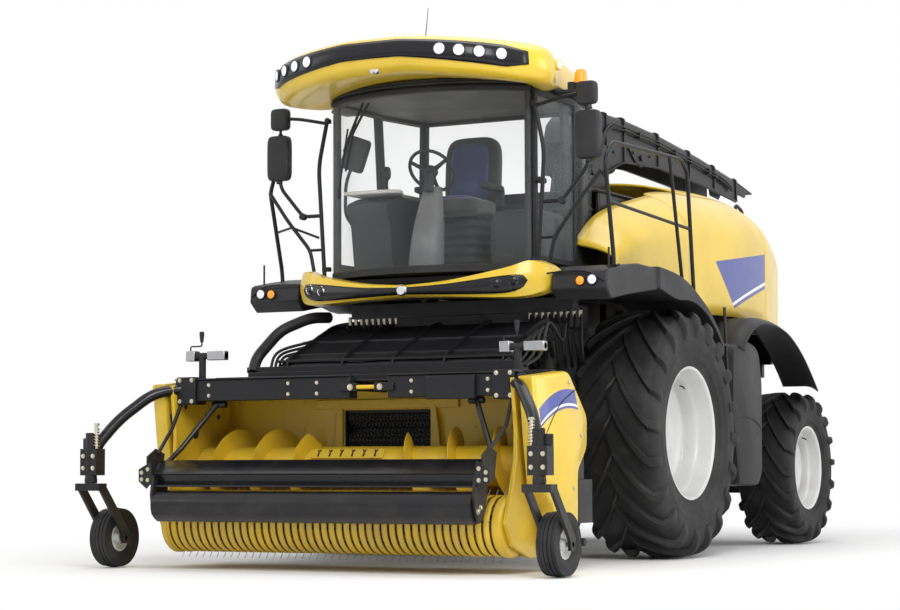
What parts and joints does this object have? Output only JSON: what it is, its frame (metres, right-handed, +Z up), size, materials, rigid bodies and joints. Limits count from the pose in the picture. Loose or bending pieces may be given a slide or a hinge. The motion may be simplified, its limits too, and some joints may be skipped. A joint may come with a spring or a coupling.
{
  "type": "self-propelled forage harvester",
  "caption": "Self-propelled forage harvester with a tined pickup header, glazed cab, tall swivelling spout and lugged tyres.",
  "frame": {"origin": "middle of the machine's length and width, on the ground", "axes": "-Y is the driving direction, +X is the machine's left side, +Z is up"},
  "size_m": [3.962, 8.99, 4.4206],
  "materials": {
    "yellow_paint": "gloss",
    "black_paint": "satin",
    "grey_plastic": "matt",
    "white_paint": "gloss",
    "rubber": "matt",
    "glass": "polished",
    "cast_iron": "painted",
    "chrome": "polished",
    "blue_fabric": "woven",
    "steel": "bare"
  },
  "bodies": {
    "machine": {"chassis_frame": "black_paint", "front_axle": "cast_iron", "rear_axle": "cast_iron", "engine_block": "cast_iron", "crop_channel": "black_paint", "hood": "yellow_paint", "rear_grille": "black_paint", "side_panel_left": "yellow_paint", "side_panel_right": "yellow_paint", "fender_front_left": "black_paint", "fender_front_right": "black_paint", "fender_rear_left": "black_paint", "fender_rear_right": "black_paint", "locker_left": "black_paint", "locker_right": "black_paint", "handrail_left": "black_paint", "mirror_rail_left": "black_paint", "mirror_rail_right": "black_paint", "cab_body": "grey_plastic", "windshield": "glass", "windows_bonded": "glass", "roof": "yellow_paint", "nose": "yellow_paint", "seat_console": "blue_fabric", "steering_column": "grey_plastic"},
    "cab_door": {"cab_door": "black_paint"},
    "engine_door_left": {"engine_door_left": "yellow_paint"},
    "engine_door_right": {"engine_door_right": "yellow_paint"},
    "spout_turret": {"spout_turret": "black_paint"},
    "spout_arm": {"spout_arm": "black_paint"},
    "spout_flap": {"spout_flap": "black_paint"},
    "spout_barrel": {"spout_lift_barrel": "black_paint"},
    "spout_rod": {"spout_lift_rod": "chrome"},
    "header": {"feeder_house": "black_paint", "header_frame": "yellow_paint", "header_side_left": "yellow_paint", "header_side_right": "yellow_paint", "top_beam": "black_paint", "reel_guard": "yellow_paint"},
    "feed_roll": {"feed_roll": "cast_iron"},
    "lift_barrels": {"lift_barrels": "black_paint"},
    "lift_rods": {"lift_rods": "chrome"},
    "reel": {"pickup_reel": "steel"},
    "auger": {"auger": "yellow_paint"},
    "windguard": {"windguard": "black_paint"},
    "crop_roller": {"crop_roller": "cast_iron"},
    "caster_left": {"caster_fork_left": "black_paint"},
    "caster_right": {"caster_fork_right": "black_paint"},
    "gauge_wheel_left": {"caster_wheel_left": "rubber"},
    "gauge_wheel_right": {"caster_wheel_right": "rubber"},
    "knuckle_left": {"knuckle_left": "cast_iron"},
    "knuckle_right": {"knuckle_right": "cast_iron"},
    "wheel_front_left": {"tyre_front_left": "rubber", "rim_front_left": "white_paint"},
    "wheel_front_right": {"tyre_front_right": "rubber", "rim_front_right": "white_paint"},
    "wheel_rear_left": {"tyre_rear_left": "rubber", "rim_rear_left": "white_paint"},
    "wheel_rear_right": {"tyre_rear_right": "rubber", "rim_rear_right": "white_paint"}
  },
  "joints": [
    {"name": "front_left_wheel_spin", "type": "hinge", "parent": "machine", "child": "wheel_front_left", "pos_m": [1.33, -1.085, 1.015], "axis": [1, 0, 0], "continuous": true},
    {"name": "front_right_wheel_spin", "type": "hinge", "parent": "machine", "child": "wheel_front_right", "pos_m": [-1.33, -1.085, 1.015], "axis": [1, 0, 0], "continuous": true},
    {"name": "rear_left_wheel_spin", "type": "hinge", "parent": "knuckle_left", "child": "wheel_rear_left", "pos_m": [1.28, 2.221, 0.718], "axis": [1, 0, 0], "continuous": true},
    {"name": "rear_right_wheel_spin", "type": "hinge", "parent": "knuckle_right", "child": "wheel_rear_right", "pos_m": [-1.28, 2.221, 0.718], "axis": [1, 0, 0], "continuous": true},
    {"name": "rear_steer_left", "type": "hinge", "parent": "machine", "child": "knuckle_left", "pos_m": [0.9, 2.221, 0.718], "axis": [0, 0, 1], "range_deg": [-32, 32]},
    {"name": "rear_steer_right", "type": "hinge", "parent": "machine", "child": "knuckle_right", "pos_m": [-0.9, 2.221, 0.718], "axis": [0, 0, 1], "range_deg": [-32, 32]},
    {"name": "header_lift", "type": "hinge", "parent": "machine", "child": "header", "pos_m": [0, -1.635, 1.13], "axis": [-1, 0, 0], "range_deg": [0, 14]},
    {"name": "lift_barrel_pivot", "type": "hinge", "parent": "machine", "child": "lift_barrels", "pos_m": [0, -1.385, 0.74], "axis": [-1, 0, 0], "range_deg": [-20, 40]},
    {"name": "lift_rod_slide", "type": "slide", "parent": "lift_barrels", "child": "lift_rods", "axis": [0, -0.9995, -0.032], "range_m": [-0.1, 0.4]},
    {"name": "feed_roll_spin", "type": "hinge", "parent": "header", "child": "feed_roll", "pos_m": [0, -3.06, 1.03], "axis": [1, 0, 0], "continuous": true},
    {"name": "auger_spin", "type": "hinge", "parent": "header", "child": "auger", "pos_m": [0, -3.535, 0.76], "axis": [1, 0, 0], "continuous": true},
    {"name": "reel_spin", "type": "hinge", "parent": "header", "child": "reel", "pos_m": [0, -3.945, 0.34], "axis": [1, 0, 0], "continuous": true},
    {"name": "windguard_lift", "type": "hinge", "parent": "header", "child": "windguard", "pos_m": [0, -3.865, 1.2317], "axis": [-1, 0, 0], "range_deg": [0, 40]},
    {"name": "crop_roller_spin", "type": "hinge", "parent": "windguard", "child": "crop_roller", "pos_m": [0, -4.32, 0.475], "axis": [1, 0, 0], "continuous": true},
    {"name": "caster_swivel_left", "type": "hinge", "parent": "header", "child": "caster_left", "pos_m": [1.87, -4.445, 0.64], "axis": [0, 0, 1], "range_deg": [-40, 40]},
    {"name": "gauge_wheel_spin_left", "type": "hinge", "parent": "caster_left", "child": "gauge_wheel_left", "pos_m": [1.87, -4.145, 0.2275], "axis": [1, 0, 0], "continuous": true},
    {"name": "caster_swivel_right", "type": "hinge", "parent": "header", "child": "caster_right", "pos_m": [-1.87, -4.445, 0.64], "axis": [0, 0, 1], "range_deg": [-40, 40]},
    {"name": "gauge_wheel_spin_right", "type": "hinge", "parent": "caster_right", "child": "gauge_wheel_right", "pos_m": [-1.87, -4.145, 0.2275], "axis": [1, 0, 0], "continuous": true},
    {"name": "cab_door_swing", "type": "hinge", "parent": "machine", "child": "cab_door", "pos_m": [0.9353, -1.743, 3], "axis": [0, 0, 1], "range_deg": [0, 44]},
    {"name": "engine_door_lift_left", "type": "hinge", "parent": "machine", "child": "engine_door_left", "pos_m": [0.8128, 0.915, 3.2625], "axis": [0, -1, 0], "range_deg": [0, 55]},
    {"name": "engine_door_lift_right", "type": "hinge", "parent": "machine", "child": "engine_door_right", "pos_m": [-0.8128, 0.915, 3.2625], "axis": [0, 1, 0], "range_deg": [0, 55]},
    {"name": "spout_swivel", "type": "hinge", "parent": "machine", "child": "spout_turret", "pos_m": [0, 0.215, 3.02], "axis": [0, 0, 1], "range_deg": [-100, 100]},
    {"name": "spout_lift", "type": "hinge", "parent": "spout_turret", "child": "spout_arm", "pos_m": [0, 0.215, 3.42], "axis": [1, 0, 0], "range_deg": [0, 32]},
    {"name": "spout_flap_tilt", "type": "hinge", "parent": "spout_arm", "child": "spout_flap", "pos_m": [0, 3.9653, 3.728], "axis": [-1, 0, 0], "range_deg": [0, 50]},
    {"name": "spout_barrel_pivot", "type": "hinge", "parent": "spout_turret", "child": "spout_barrel", "pos_m": [0, 0.535, 3.33], "axis": [1, 0, 0], "range_deg": [-30, 60]},
    {"name": "spout_rod_slide", "type": "slide", "parent": "spout_barrel", "child": "spout_rod", "axis": [0, 0.9292, 0.3695], "range_m": [-0.1, 0.5]}
  ],
  "couplings": [
    {"joint": "rear_steer_right", "follows": "rear_steer_left", "ratio": 1},
    {"joint": "lift_barrel_pivot", "follows": "header_lift", "ratio": 0.78867},
    {"joint": "lift_rod_slide", "follows": "header_lift", "m_per_rad": 0.37231},
    {"joint": "spout_barrel_pivot", "follows": "spout_lift", "ratio": 1.1874},
    {"joint": "spout_rod_slide", "follows": "spout_lift", "m_per_rad": 0.27363}
  ]
}
